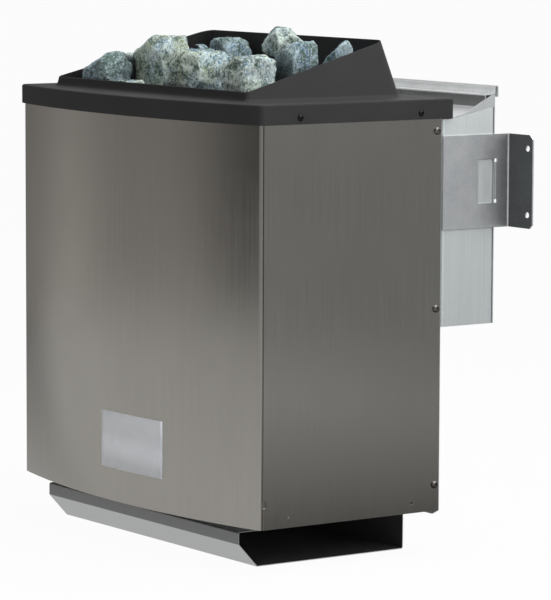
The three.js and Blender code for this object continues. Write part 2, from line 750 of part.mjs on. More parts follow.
// Rear duct
function ductCheek() {
  const inner = ductHalf - DUCT_FLANGE;
  const rear = ductRear - FIT;
  const line = [[inner, ductFront], [ductHalf, ductFront], [ductHalf, rear], [inner, rear]];
  const tall = ductTopFront + DUCT_TOP_RISE + DUCT_FLANGE;
  const walls = raised(foldedSheet(line, SHEET, SHEET_BEND), ductBottom, tall);
  const rise = ductTopFront + DUCT_TOP_RISE;
  const sky = outline(
    [ductFront - SHEET, ductTopFront],
    [deflectorFront, ductTopFront],
    [rear, rise],
    [rear + SHEET, rise],
    [rear + SHEET, tall + SHEET],
    [ductFront - SHEET, tall + SHEET],
  );
  const flange = outline(
    [deflectorFront, ductTopFront],
    [deflectorFront, ductTopFront - SHEET],
    [rear, rise - SHEET],
    [rear, rise],
  );
  const trimmed = cut(walls, acrossX(sky, inner - SHEET, ductHalf + SHEET));
  return join(trimmed, acrossX(flange, inner, ductHalf));
}

function ductBack() {
  return box(-ductHalf, ductHalf, ductRear, ductRear + SHEET, ductBottom, deflectorLedge - FIT);
}

// A folded rail, closed at both ends by a cap that rises from the sloped plate to the ledge.
function deflectorRail() {
  const rear = ductRear - FIT;
  const slope = DUCT_TOP_RISE / (rear - deflectorFront);
  const plateAt = (y) => ductTopFront + FIT + slope * (y - deflectorFront);
  const lipY = ductRear + SHEET + FIT;
  const section = foldedSheet([
    [deflectorFront, plateAt(deflectorFront)],
    [deflectorStep, plateAt(deflectorStep)],
    [deflectorStep, deflectorLedge],
    [lipY, deflectorLedge],
    [lipY, deflectorLedge + DEFLECTOR_LIP],
    [lipY + DEFLECTOR_HOOK, deflectorLedge + DEFLECTOR_LIP],
    [lipY + DEFLECTOR_HOOK, deflectorLedge + DEFLECTOR_LIP - DEFLECTOR_HOOK_DROP],
  ], SHEET, SHEET_BEND);
  const capFront = deflectorFront + DEFLECTOR_CAP_START;
  const cap = acrossX(outline(
    [capFront, plateAt(capFront)],
    [rear, plateAt(rear)],
    [rear, deflectorLedge + SHEET / 2],
    [rear - DEFLECTOR_CAP_INSET, deflectorLedge + SHEET / 2],
    [capFront, plateAt(capFront) + SHEET],
  ), ductHalf - SHEET, ductHalf);
  const rail = join(acrossX(section, -ductHalf, ductHalf), cap, mirrored(cap));
  const holeY = (deflectorStep + lipY) / 2;
  const reach = Math.floor((ductHalf - DUCT_FLANGE) / DEFLECTOR_HOLE_PITCH);
  const holes = [];
  for (let k = -reach; k <= reach; k++) {
    const x = k * DEFLECTOR_HOLE_PITCH;
    holes.push(pinZ(deflectorLedge - SHEET, deflectorLedge + 2 * SHEET, x, holeY, DEFLECTOR_HOLE_RADIUS));
  }
  return cut(rail, ...holes);
}

// A bracket on the duct's cheek: its tab is bent in from the window and lies on the back sheet.
function wallBracket() {
  const inner = ductHalf + FIT;
  const outer = inner + BRACKET_SHEET;
  const tip = inner + BRACKET_FLANGE;
  const top = bracketZ + BRACKET_HEIGHT;
  const line = [[tip, wallY], [inner, wallY], [inner, ductFront]];
  const plate = raised(foldedSheet(line, BRACKET_SHEET, BRACKET_BEND), bracketZ, top);
  const middle = (bracketZ + top) / 2;
  const tabFront = ductRear + SHEET + FIT;
  const tabRear = tabFront + BRACKET_SHEET;
  const windowZ = middle - WINDOW_HEIGHT / 2;
  const windowTop = middle + WINDOW_HEIGHT / 2;
  const window = box(inner - SHEET, outer + SHEET, tabRear - WINDOW_WIDTH, tabRear, windowZ, windowTop);
  const holes = [bracketZ + BRACKET_HOLE_END, top - BRACKET_HOLE_END].map((z) => {
    const x = tip - BRACKET_HOLE_EDGE;
    return pinY(wallY - 2 * BRACKET_SHEET, wallY + SHEET, x, z, BRACKET_HOLE_RADIUS);
  });
  const chamfer = (z, way) => {
    const corner = outline(
      [tip - BRACKET_CHAMFER, z],
      [tip + SHEET, z + way * (BRACKET_CHAMFER + SHEET)],
      [tip + SHEET, z - way * SHEET],
      [tip - BRACKET_CHAMFER, z - way * SHEET],
    );
    return acrossY(corner, wallY - 2 * BRACKET_SHEET, wallY + SHEET);
  };
  const opened = cut(plate, window, ...holes, chamfer(bracketZ, 1), chamfer(top, -1));
  const tabZ = windowZ + TAB_RELIEF;
  const tabTop = windowTop - TAB_RELIEF;
  const tab = box(inner - TAB_LENGTH, outer, tabFront, tabRear, tabZ, tabTop);
  const root = box(inner, outer, tabFront, tabRear + SHEET, tabZ, tabTop);
  return join(opened, tab, root);
}

// Stones: convex broken rock, let down one after the other until each rests on what is below.
function randomFrom(seed) {
  let state = seed;
  return () => {
    state = (state + 0x6d2b79f5) | 0;
    let mix = Math.imul(state ^ (state >>> 15), 1 | state);
    mix = (mix + Math.imul(mix ^ (mix >>> 7), 61 | mix)) ^ mix;
    return ((mix ^ (mix >>> 14)) >>> 0) / 2 ** 32;
  };
}

// The splits of a stone that nothing else is said of: evenly spread, with some chance in each.
function chanceSplits(seed) {
  const next = randomFrom(seed);
  const goldenAngle = 180 * (3 - Math.sqrt(5));
  return Array.from({ length: STONE_SPLITS }, (_, k) => {
    const slope = STONE_STEEPEST * (1 - 2 * (k + next()) / STONE_SPLITS);
    return [goldenAngle * (k + next() / 2), slope, STONE_DEEPEST + (1 - STONE_DEEPEST) * next() / 2];
  });
}

// A stone is split from a block, and bearings are counted from the heater's right rear corner.
function stoneShape({ length, width, height, turn, splits }) {
  const size = [length, width, height].map((part) => part * STONE_SIZE);
  let stone = wasm.Manifold.cube(size, true);
  for (const [bearing, slope, out] of splits) {
    const [around, up] = [bearing + FIRST_BEARING - turn, slope].map(THREE.MathUtils.degToRad);
    const inward = [-Math.cos(up) * Math.cos(around), -Math.cos(up) * Math.sin(around), -Math.sin(up)];
    const reach = inward.reduce((sum, part, k) => sum + Math.abs(part) * size[k] / 2, 0);
    stone = stone.trimByPlane(inward, -out * reach);
  }
  return toGeometry(stone).rotateZ(THREE.MathUtils.degToRad(turn));
}

// The planes of a convex body's faces, moved out by a gap, and the body's bounds.
function facePlanes(geometry, gap) {
  const triangles = geometry.index ? geometry.toNonIndexed() : geometry;
  const at = triangles.attributes.position;
  const planes = [];
  for (let i = 0; i < at.count; i += 3) {
    const [a, b, c] = [0, 1, 2].map((k) => new THREE.Vector3().fromBufferAttribute(at, i + k));
    const plane = new THREE.Plane().setFromCoplanarPoints(a, b, c);
    plane.constant -= gap;
    if (Number.isFinite(plane.normal.z)) planes.push(plane);
  }
  geometry.computeBoundingBox();
  return { planes, bounds: geometry.boundingBox.clone() };
}

// Lowest and highest point of a convex body over a spot, or null beside it.
function spanOver(body, x, y) {
  let low = -Infinity;
  let high = Infinity;
  for (const { normal, constant } of body.planes) {
    const level = normal.x * x + normal.y * y + constant;
    if (Math.abs(normal.z) < UPRIGHT) {
      if (level > 0) return null;
    } else if (normal.z < 0) {
      low = Math.max(low, -level / normal.z);
    } else {
      high = Math.min(high, -level / normal.z);
    }
  }
  return low <= high ? { low, high } : null;
}

const COMPASS = [[1, 0], [1, 1], [0, 1], [-1, 1], [-1, 0], [-1, -1], [0, -1], [1, -1]];

// How far an upper body stands over a lower one, measured straight down.
function roomBetween(upper, lower) {
  const left = Math.max(upper.bounds.min.x, lower.bounds.min.x);
  const front = Math.max(upper.bounds.min.y, lower.bounds.min.y);
  const width = Math.min(upper.bounds.max.x, lower.bounds.max.x) - left;
  const depth = Math.min(upper.bounds.max.y, lower.bounds.max.y) - front;
  if (width <= 0 || depth <= 0) return Infinity;
  const room = (x, y) => {
    const above = spanOver(upper, x, y);
    const below = above && spanOver(lower, x, y);
    return below ? above.low - below.high : Infinity;
  };
  let best = { x: 0, y: 0, room: Infinity };
  const look = (x, y) => {
    const found = room(x, y);
    if (found < best.room) best = { x, y, room: found };
  };
  for (let i = 0; i <= SEARCH_GRID; i++) {
    for (let j = 0; j <= SEARCH_GRID; j++) {
      look(left + width * i / SEARCH_GRID, front + depth * j / SEARCH_GRID);
    }
  }
  if (best.room === Infinity) return Infinity;
  for (let step = Math.max(width, depth) / SEARCH_GRID; step > SEARCH_END;) {
    const { x, y, room: before } = best;
    for (const [across, along] of COMPASS) look(x + step * across, y + step * along);
    if (best.room === before) step /= 2;
  }
  return best.room;
}

const pile = rodPlaces.map((x) => facePlanes(grateRod(x), 0));

// A stone's place is given across the free mouth of the hood: -1 left or front, 1 right or rear.
function layStone(name, { across, back, ...shape }) {
  const stone = stoneShape(shape);
  stone.computeBoundingBox();
  const size = stone.boundingBox.getSize(new THREE.Vector3());
  const front = Math.max(innerFront, hoodAt(HOOD_LIP, -FRAME_SHEET).front) + STONE_WALL_GAP;
  const rear = hoodAt(HOOD_HEIGHT, -FRAME_SHEET).rear - STONE_WALL_GAP;
  const y = (front + rear) / 2 + back * ((rear - front) - size.y) / 2;
  const rim = hoodRimAt(Math.min(rear, y + size.y / 2)) - frameTop;
  const reach = hoodAt(rim, -FRAME_SHEET).half - STONE_WALL_GAP;
  const x = across * (reach - size.x / 2);
  const middle = stone.boundingBox.getCenter(new THREE.Vector3());
  stone.translate(x - middle.x, y - middle.y, frameTop);
  const body = facePlanes(stone, STONE_GAP);
  const drop = Math.min(...pile.map((lower) => roomBetween(body, lower)));
  stone.translate(0, 0, -drop);
  pile.push(facePlanes(stone, 0));
  piece(name, stone, 'stone');
}

// Assembly
piece('front_panel', frontPanel(), 'stainless');
pair('side_panel', sidePanel(), 'stainless');
piece('rear_panel', rearPanel(), 'aluzinc');
piece('top_frame', topFrame(), 'black');
piece('front_rail', crossRail(frontWebY, FRONT_RAIL_DEPTH), 'aluzinc');
piece('rear_rail', crossRail(rearWebY, REAR_RAIL_DEPTH), 'aluzinc');
piece('air_trough', airTrough(), 'aluzinc');
pair('shaft_side', shaftSide(), 'aluzinc');
piece('shaft_front', shaftPlate(shaftFront - SHEET), 'aluzinc');
piece('shaft_rear', shaftPlate(shaftRear), 'aluzinc');
pair('grate_ledge', grateLedge(), 'aluzinc');
piece('stone_grate', stoneGrate(), 'sheath');
elementPlaces.forEach((y, k) => piece(`heating_element_${k + 1}`, heatingElement(y), 'sheath'));
pair('element_comb', elementComb(), 'aluzinc');
legPlaces.forEach(([x, y], k) => piece(`insulator_${k + 1}`, insulator(x, y), 'ceramic'));
piece('terminal_box', terminalBox(), 'aluzinc');
piece('terminal_cover', terminalCover(), 'aluzinc');
piece('terminal_block', terminalBlock(), 'ceramic');
piece('cable_gland', cableGland(), 'polyamide');
piece('gland_locknut', glandLocknut(), 'polyamide');
pair('duct_cheek', ductCheek(), 'aluzinc');
piece('duct_back', ductBack(), 'aluzinc');
piece('deflector_rail', deflectorRail(), 'aluzinc');
pair('wall_bracket', wallBracket(), 'galvanised');

// The lower layer fills the grate in rows, each stone turned a little.
for (let row = 0; row < LOWER_STONE_ROWS; row++) {
  for (let column = 0; column < LOWER_STONE_COLUMNS; column++) {
    const number = row * LOWER_STONE_COLUMNS + column + 1;
    const across = 2 * column / (LOWER_STONE_COLUMNS - 1) - 1;
    const back = 2 * row / (LOWER_STONE_ROWS - 1) - 1;
    const turn = LOWER_STONE_TURN * (number % 3 - 1);
    layStone(`stone_${number}`, { across, back, ...LOWER_STONE, turn, splits: chanceSplits(number) });
  }
}

// The upper layer, hidden stones first and the crown last.
const UPPER_STONES = [
  { across: -0.98, back: 0.91, length: 0.85, width: 0.75, height: 0.8, turn: 0, splits: chanceSplits(31) },
  { across: -0.96, back: -0.13, length: 0.85, width: 1.1, height: 0.88, turn: 0, splits: chanceSplits(32) },
  { across: 0.13, back: 0.76, length: 1, width: 0.85, height: 0.82, turn: -5, splits: chanceSplits(33) },
  { across: -0.52, back: 0.3, length: 0.72, width: 0.55, height: 1.22, turn: 0, splits: chanceSplits(34) },
  { across: -0.59, back: 0.93, length: 0.9, width: 0.68, height: 1.22, turn: 5,
    splits: [[180, 45, 0.8], [0, 42, 0.78], [200, 78, 0.93], [-90, 40, 0.76], [100, 40, 0.8],
      ...UNDERSIDE] },
  { across: 0.88, back: 0.74, length: 0.55, width: 0.55, height: 1.32, turn: 0,
    splits: [[180, 52, 0.58], [-20, 30, 0.82], [-100, 30, 0.8], [90, 30, 0.8], ...UNDERSIDE] },
  { across: -0.46, back: -1, length: 0.85, width: 0.55, height: 0.42, turn: 0, splits: chanceSplits(37) },
  { across: 0.48, back: -0.11, length: 0.75, width: 0.6, height: 0.95, turn: 0, splits: chanceSplits(38) },
  { across: -0.88, back: -0.97, length: 1.1, width: 0.72, height: 0.95, turn: 0,
    splits: [[180, 58, 0.5], [185, 12, 0.74], [-75, 42, 0.74], [0, 40, 0.84], [90, 35, 0.8],
      [-100, -20, 0.78], [-20, 72, 0.9], ...UNDERSIDE] },
  { across: 0.92, back: -0.05, length: 0.85, width: 0.67, height: 1.47, turn: 0,
    splits: [[180, 62, 0.7], [150, 30, 0.8], [-50, 15, 0.78], [-120, 30, 0.76], [80, 40, 0.8],
      [0, 8, 0.86], [-30, 75, 0.95], ...UNDERSIDE] },
  { across: -0.61, back: -0.34, length: 1.2, width: 0.95, height: 1.3, turn: 0,
    splits: [[180, 51, 0.66], [180, 80, 0.93], [0, 35, 0.82], [180, -38, 0.7], [-125, -10, 0.76],
      [-45, 22, 0.78], [-100, 58, 0.78], [90, 40, 0.8], [-60, -30, 0.8], ...UNDERSIDE] },
  { across: 0.89, back: -0.94, length: 0.95, width: 0.95, height: 1.06, turn: 0,
    splits: [[180, 42, 0.68], [10, 60, 0.82], [-90, 26, 0.76], [-95, 62, 0.82], [-150, 8, 0.8],
      [-20, 0, 0.82], [85, 40, 0.8], [-110, -25, 0.8], ...UNDERSIDE] },
  { across: 0.27, back: -0.97, length: 1.3, width: 1.15, height: 1.07, turn: 0,
    splits: [[180, 24, 0.76], [180, 55, 0.74], [180, 82, 0.93], [0, 52, 0.76], [-125, 12, 0.74],
      [-65, 30, 0.76], [-95, 66, 0.84], [-60, -25, 0.76], [90, 45, 0.8], ...UNDERSIDE] },
  { across: 0.58, back: 0.22, length: 0.8, width: 0.7, height: 0.66, turn: 0,
    splits: [[180, 46, 0.55], [0, 50, 0.57], [-80, 28, 0.72], [-150, -10, 0.8], [90, 35, 0.76],
      ...UNDERSIDE] },
];
const lowerCount = LOWER_STONE_ROWS * LOWER_STONE_COLUMNS;
UPPER_STONES.forEach((stone, k) => layStone(`stone_${lowerCount + k + 1}`, stone));

// The origin lies under the middle of the whole heater.
const frontmost = -FRONT_BOW - FIT - SKIRT_GAP - FRAME_SHEET;
heater.position.y = -(frontmost + wallY) / 2;

export default heater;
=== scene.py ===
# Looks of a wall-hung sauna heater: brushed casing, black hood, broken stones, bright rear duct.
import math
import random

import bmesh
import bpy
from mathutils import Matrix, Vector, noise
from mathutils.bvhtree import BVHTree


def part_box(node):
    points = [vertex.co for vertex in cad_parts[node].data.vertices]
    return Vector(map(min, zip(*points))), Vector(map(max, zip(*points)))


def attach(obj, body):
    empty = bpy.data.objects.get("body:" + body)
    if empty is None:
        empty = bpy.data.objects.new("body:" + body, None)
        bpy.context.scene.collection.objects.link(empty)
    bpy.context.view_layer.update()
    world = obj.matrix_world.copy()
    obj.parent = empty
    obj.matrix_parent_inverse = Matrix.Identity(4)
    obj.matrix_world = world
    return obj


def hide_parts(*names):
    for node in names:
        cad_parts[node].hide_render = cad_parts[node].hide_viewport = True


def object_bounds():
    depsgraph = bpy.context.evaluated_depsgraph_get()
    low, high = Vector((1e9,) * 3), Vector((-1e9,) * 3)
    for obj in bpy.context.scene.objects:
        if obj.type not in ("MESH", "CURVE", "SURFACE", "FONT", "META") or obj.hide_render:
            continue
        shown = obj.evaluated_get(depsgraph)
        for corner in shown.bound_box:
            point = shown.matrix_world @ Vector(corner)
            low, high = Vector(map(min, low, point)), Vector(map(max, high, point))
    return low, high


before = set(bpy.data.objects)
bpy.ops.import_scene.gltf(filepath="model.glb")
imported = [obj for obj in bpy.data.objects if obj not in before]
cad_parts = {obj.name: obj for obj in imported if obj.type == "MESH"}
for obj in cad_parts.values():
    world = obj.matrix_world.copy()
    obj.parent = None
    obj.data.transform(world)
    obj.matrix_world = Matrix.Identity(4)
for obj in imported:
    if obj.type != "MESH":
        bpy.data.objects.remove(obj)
cad_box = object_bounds()

MM = 0.001
RIGHT, LEFT = 1, -1
SIDE_NAMES = {RIGHT: "right", LEFT: "left"}

# Sockets of the Mix node when it mixes colours
FACTOR, FIRST, SECOND, MIXED = 0, 6, 7, 2
SHADER = "Principled BSDF"


def linear(hex_colour):
    """An sRGB hex colour as linear red, green, blue and alpha."""
    parts = [int(hex_colour[i:i + 2], 16) / 255 for i in (1, 3, 5)]
    return [p / 12.92 if p <= 0.04045 else ((p + 0.055) / 1.055) ** 2.4 for p in parts] + [1.0]


def per(size_mm):
    """Repeats per metre of a pattern whose grains are this size."""
    return 1 / (size_mm * MM)


def add(tree, kind, feeds=None, **settings):
    """A node with its settings; feeds gives each input another node's output or a value."""
    made = tree.nodes.new("ShaderNode" + kind)
    for key, value in settings.items():
        setattr(made, key, value)
    for socket, source in (feeds or {}).items():
        if isinstance(source, bpy.types.NodeSocket):
            tree.links.new(source, made.inputs[socket])
        else:
            made.inputs[socket].default_value = source
    return made


def surface(name, constants):
    """A material and its node tree, with what is the same all over set on the shader."""
    material = bpy.data.materials.new(name)
    material.use_nodes = True
    for socket, value in constants.items():
        material.node_tree.nodes[SHADER].inputs[socket].default_value = value
    return material, material.node_tree


def covered(material, tone, rough=None, relief=None):
    """The material, its shader fed with what varies over the surface: tone, roughness and relief."""
    tree = material.node_tree
    shader = tree.nodes[SHADER]
    tree.links.new(tone.outputs[MIXED], shader.inputs["Base Color"])
    if rough:
        tree.links.new(rough.outputs[0], shader.inputs["Roughness"])
    if relief:
        tree.links.new(relief.outputs[0], shader.inputs["Normal"])
    return material


def brushed_stainless():
    """Stainless steel, belt-brushed upright: a soft sideways glint and faint upright lines.
    The real lines are about 0.1 mm apart and are drawn at 1.3 mm, so that they show."""
    material, tree = surface("brushed_stainless", {"Metallic": 1.0, "Anisotropic": 0.5})
    place = add(tree, "TexCoord").outputs["Object"]
    along = add(tree, "Mapping", {"Vector": place, "Scale": (per(1.3), per(1.3), per(120))})
    lines = add(tree, "TexNoise", {"Vector": along.outputs[0], "Scale": 1.0, "Detail": 3.0})
    clouds = add(tree, "TexNoise", {"Vector": place, "Scale": per(70), "Detail": 3.0})
    gleam = add(tree, "MapRange", {"Value": lines.outputs[0], "From Min": 0.3, "From Max": 0.7,
                                   "To Min": 0.205, "To Max": 0.24})
    smear = add(tree, "MapRange", {"Value": clouds.outputs[0], "From Min": 0.3, "From Max": 0.7,
                                   "To Min": -0.02, "To Max": 0.02})
    rough = add(tree, "Math", {0: gleam.outputs[0], 1: smear.outputs[0]}, operation="ADD")
    tone = add(tree, "Mix", {FACTOR: lines.outputs[0], FIRST: linear("#928f89"), SECOND: linear("#a09d97")},
               data_type="RGBA")
    relief = add(tree, "Bump", {"Height": lines.outputs[0], "Strength": 0.06, "Distance": 0.02 * MM})
    tangent = add(tree, "Tangent", direction_type="RADIAL", axis="Z")
    tree.links.new(tangent.outputs[0], tree.nodes[SHADER].inputs["Tangent"])
    return covered(material, tone, rough, relief)


def powder_coat():
    """Black polyester powder coat, oven-cured to a fine texture: matt, with the tiny bumps of melted grains.
    The bumps are about 0.6 mm and are drawn at 1.6 mm, so that they show."""
    material, tree = surface("black_powder_coat", {"IOR": 1.5, "Specular IOR Level": 0.04})
    place = add(tree, "TexCoord").outputs["Object"]
    peel = add(tree, "TexNoise", {"Vector": place, "Scale": per(1.6), "Detail": 3.0})
    dust = add(tree, "TexNoise", {"Vector": place, "Scale": per(45), "Detail": 4.0})
    tone = add(tree, "Mix", {FACTOR: dust.outputs[0], FIRST: linear("#333334"), SECOND: linear("#3b3b3c")},
               data_type="RGBA")
    rough = add(tree, "MapRange", {"Value": dust.outputs[0], "From Min": 0.3, "From Max": 0.7,
                                   "To Min": 0.52, "To Max": 0.62})
    relief = add(tree, "Bump", {"Height": peel.outputs[0], "Strength": 0.2, "Distance": 0.1 * MM})
    return covered(material, tone, rough, relief)


def aluzinc_sheet(name, dark, light, gloss):
    """Steel sheet dipped in aluminium and zinc, then rolled: pale, with tiny crystals and roll lines.
    The crystals are about 1 mm and the lines finer; they are drawn at 2.4 and 1.8 mm, so that they show."""
    material, tree = surface(name, {"Metallic": 1.0})
    place = add(tree, "TexCoord").outputs["Object"]
    along = add(tree, "Mapping", {"Vector": place, "Scale": (per(1.8), per(1.8), per(160))})
    lines = add(tree, "TexNoise", {"Vector": along.outputs[0], "Scale": 1.0, "Detail": 2.0})
    crystals = add(tree, "TexVoronoi", {"Vector": place, "Scale": per(2.4)})
    grain = add(tree, "Mix", {FACTOR: 0.15, FIRST: lines.outputs[0], SECOND: crystals.outputs["Color"]},
                data_type="RGBA")
    tone = add(tree, "Mix", {FACTOR: grain.outputs[MIXED], FIRST: linear(dark), SECOND: linear(light)},
               data_type="RGBA")
    rough = add(tree, "MapRange", {"Value": grain.outputs[MIXED], "To Min": gloss, "To Max": gloss + 0.1})
    relief = add(tree, "Bump", {"Height": lines.outputs[0], "Strength": 0.1, "Distance": 0.03 * MM})
    return covered(material, tone, rough, relief)


def galvanised_plate(name, dark, light):
    """Hot-dip galvanised steel plate: bright grey zinc, clouded at 20 mm and finely flecked.
    The flecks are under 1 mm and are drawn at 1.6 mm, so that they show."""
    material, tree = surface(name, {"Metallic": 1.0})
    place = add(tree, "TexCoord").outputs["Object"]
    clouds = add(tree, "TexNoise", {"Vector": place, "Scale": per(20), "Detail": 3.0})
    flecks = add(tree, "TexNoise", {"Vector": place, "Scale": per(1.6), "Detail": 2.0})
    patch = add(tree, "Mix", {FACTOR: 0.6, FIRST: clouds.outputs["Color"], SECOND: flecks.outputs["Color"]},
                data_type="RGBA")
    level = add(tree, "RGBToBW", {"Color": patch.outputs[MIXED]})
    even = add(tree, "MapRange", {"Value": level.outputs[0], "From Min": 0.35, "From Max": 0.65})
    tone = add(tree, "Mix", {FACTOR: even.outputs[0], FIRST: linear(dark), SECOND: linear(light)},
               data_type="RGBA")
    rough = add(tree, "MapRange", {"Value": even.outputs[0], "To Min": 0.32, "To Max": 0.4})
    return covered(material, tone, rough)


def scaled_steel():
    """Heat-proof steel that has been red hot: dull brown-grey scale in cloudy patches of about 12 mm."""
    material, tree = surface("scaled_heater_steel", {"Metallic": 0.85})
    place = add(tree, "TexCoord").outputs["Object"]
    clouds = add(tree, "TexNoise", {"Vector": place, "Scale": per(12), "Detail": 5.0, "Roughness": 0.65})
    tone = add(tree, "Mix", {FACTOR: clouds.outputs[0], FIRST: linear("#3c3835"), SECOND: linear("#6a625a")},
               data_type="RGBA")
    rough = add(tree, "MapRange", {"Value": clouds.outputs[0], "To Min": 0.4, "To Max": 0.7})
    return covered(material, tone, rough)


def trough_shade_paint():
    """Flat black inside the air trough, with dusty streaks: painted shade, as the trough lies deep in shade.
    """
    material, tree = surface("painted_trough_shade", {"IOR": 1.45, "Specular IOR Level": 0.25})
    place = add(tree, "TexCoord").outputs["Object"]
    along = add(tree, "Mapping", {"Vector": place, "Scale": (per(90), per(6), per(6))})
    streaks = add(tree, "TexNoise", {"Vector": along.outputs[0], "Scale": 1.0, "Detail": 4.0})
    tone = add(tree, "Mix", {FACTOR: streaks.outputs[0], FIRST: linear("#3a3a3a"), SECOND: linear("#4a4948")},
               data_type="RGBA")
    rough = add(tree, "MapRange", {"Value": streaks.outputs[0], "To Min": 0.6, "To Max": 0.85})
    return covered(material, tone, rough)


def pressed_ceramic():
    """Steatite ceramic, pressed and fired: cream, matt, faintly speckled at 1.2 mm."""
    material, tree = surface("pressed_steatite", {"IOR": 1.55})
    place = add(tree, "TexCoord").outputs["Object"]
    specks = add(tree, "TexNoise", {"Vector": place, "Scale": per(1.2), "Detail": 2.0})
    tone = add(tree, "Mix", {FACTOR: specks.outputs[0], FIRST: linear("#d8d0be"), SECOND: linear("#efe9dc")},
               data_type="RGBA")
    rough = add(tree, "MapRange", {"Value": specks.outputs[0], "To Min": 0.45, "To Max": 0.65})
    return covered(material, tone, rough)


def moulded_polyamide():
    """Glass-filled polyamide from a spark-eroded mould: dark grey with a fine matt grain of 0.8 mm."""
    material, tree = surface("moulded_polyamide", {"IOR": 1.53})
    place = add(tree, "TexCoord").outputs["Object"]
    grain = add(tree, "TexNoise", {"Vector": place, "Scale": per(0.8), "Detail": 2.0})
    tone = add(tree, "Mix", {FACTOR: grain.outputs[0], FIRST: linear("#333436"), SECOND: linear("#414245")},
               data_type="RGBA")
    rough = add(tree, "MapRange", {"Value": grain.outputs[0], "To Min": 0.42, "To Max": 0.58})
    relief = add(tree, "Bump", {"Height": grain.outputs[0], "Strength": 0.3, "Distance": 0.08 * MM})
    return covered(material, tone, rough, relief)


def broken_rock(name, blue, olive, pale):
    """Dark olivine rock, broken by hammer: blue-grey and olive faces under a dust of ground pale grain. It is
    paler where edges have rubbed together. Its sides are made paler than its tops as painted light, and its
    hollows and the gaps between stones darker as painted shade. Grains are about 2.6 mm, blotches 7 mm,
    drifts of more and less dust 26 mm and colour patches 35 mm."""
    material, tree = surface(name, {"IOR": 1.55, "Roughness": 0.88, "Specular IOR Level": 0.3})
    place = add(tree, "TexCoord").outputs["Object"]
    shape = add(tree, "NewGeometry")
    patches = add(tree, "TexNoise", {"Vector": place, "Scale": per(35), "Detail": 2.0})
    patch = add(tree, "MapRange", {"Value": patches.outputs[0], "From Min": 0.42, "From Max": 0.58})
    body = add(tree, "Mix", {FACTOR: patch.outputs[0], FIRST: linear(blue), SECOND: linear(olive)},
               data_type="RGBA")
    blotches = add(tree, "TexNoise", {"Vector": place, "Scale": per(7), "Detail": 6.0, "Roughness": 0.7})
    # Painted shade: hollows, found by pointiness, are pushed towards the dark stain colour
    hollow_shade = add(tree, "MapRange", {"Value": shape.outputs["Pointiness"], "From Min": 0.44, "From Max": 0.5,
                                    "To Min": -0.12, "To Max": 0.0})
    drifts = add(tree, "TexNoise", {"Vector": place, "Scale": per(26), "Detail": 2.0, "Distortion": 0.6})
    drift = add(tree, "MapRange", {"Value": drifts.outputs[0], "From Min": 0.38, "From Max": 0.62,
                                   "To Min": -0.045, "To Max": 0.045})
    drift_and_hollow_shade = add(tree, "Math", {0: hollow_shade.outputs[0], 1: drift.outputs[0]}, operation="ADD")
    blotch_and_hollow_shade = add(tree, "Math", {0: blotches.outputs[0], 1: drift_and_hollow_shade.outputs[0]}, operation="ADD")
    unstained_and_unshaded = add(tree, "MapRange", {"Value": blotch_and_hollow_shade.outputs[0], "From Min": 0.42, "From Max": 0.57})
    stain_and_hollow_shaded = add(tree, "Mix", {FACTOR: unstained_and_unshaded.outputs[0], FIRST: linear("#4f6159"),
                                SECOND: body.outputs[MIXED]}, data_type="RGBA")
    grains = add(tree, "TexNoise", {"Vector": place, "Scale": per(2.6), "Detail": 3.0, "Roughness": 0.7})
    facing = add(tree, "SeparateXYZ", {0: shape.outputs["Normal"]})
    # Painted light: upright faces are made paler and upward faces darker; this rides on through the dust mix
    # below
    facing_light = add(tree, "MapRange", {"Value": facing.outputs["Z"], "From Min": 0.1, "From Max": 0.9,
                                   "To Min": 0.03, "To Max": -0.02})
    rubbed = add(tree, "MapRange", {"Value": shape.outputs["Pointiness"], "From Min": 0.5, "From Max": 0.56,
                                    "To Max": 0.1})
    rubs_and_facing_light = add(tree, "Math", {0: facing_light.outputs[0], 1: rubbed.outputs[0]}, operation="ADD")
    wear_and_facing_light = add(tree, "Math", {0: rubs_and_facing_light.outputs[0], 1: drift.outputs[0]}, operation="ADD")
    powder_and_facing_light = add(tree, "Math", {0: blotches.outputs[0], 1: 0.3, 2: wear_and_facing_light.outputs[0]}, operation="MULTIPLY_ADD")
    grains_and_facing_light = add(tree, "Math", {0: grains.outputs[0], 1: 0.7, 2: powder_and_facing_light.outputs[0]},
                  operation="MULTIPLY_ADD")
    dust_and_facing_light = add(tree, "MapRange", {"Value": grains_and_facing_light.outputs[0], "From Min": 0.46, "From Max": 0.62})
    tone = add(tree, "Mix", {FACTOR: dust_and_facing_light.outputs[0], FIRST: stain_and_hollow_shaded.outputs[MIXED],
                             SECOND: linear(pale)}, data_type="RGBA")
    # Painted shade: the gaps between stones, found by ambient occlusion within 28 mm, are darkened towards
    # near black
    gaps = add(tree, "AmbientOcclusion", {"Distance": 28 * MM}, samples=8)
    open_air = add(tree, "MapRange", {"Value": gaps.outputs["AO"], "From Min": 0.48, "From Max": 0.82})
    shaded = add(tree, "Mix", {FACTOR: open_air.outputs[0], FIRST: linear("#171d1a"),
                               SECOND: tone.outputs[MIXED]}, data_type="RGBA")
    relief = add(tree, "Bump", {"Height": grains.outputs[0], "Strength": 0.8, "Distance": 1.4 * MM})
    return covered(material, shaded, relief=relief)


def zinc_screw_steel(name, dark, light):
    """Screw steel with a thin plated skin: smooth turned metal with cloudy tone of about 3 mm."""
    material, tree = surface(name, {"Metallic": 1.0})
    place = add(tree, "TexCoord").outputs["Object"]
    clouds = add(tree, "TexNoise", {"Vector": place, "Scale": per(3), "Detail": 3.0})
    tone = add(tree, "Mix", {FACTOR: clouds.outputs[0], FIRST: linear(dark), SECOND: linear(light)},
               data_type="RGBA")
    rough = add(tree, "MapRange", {"Value": clouds.outputs[0], "To Min": 0.22, "To Max": 0.38})
    return covered(material, tone, rough)


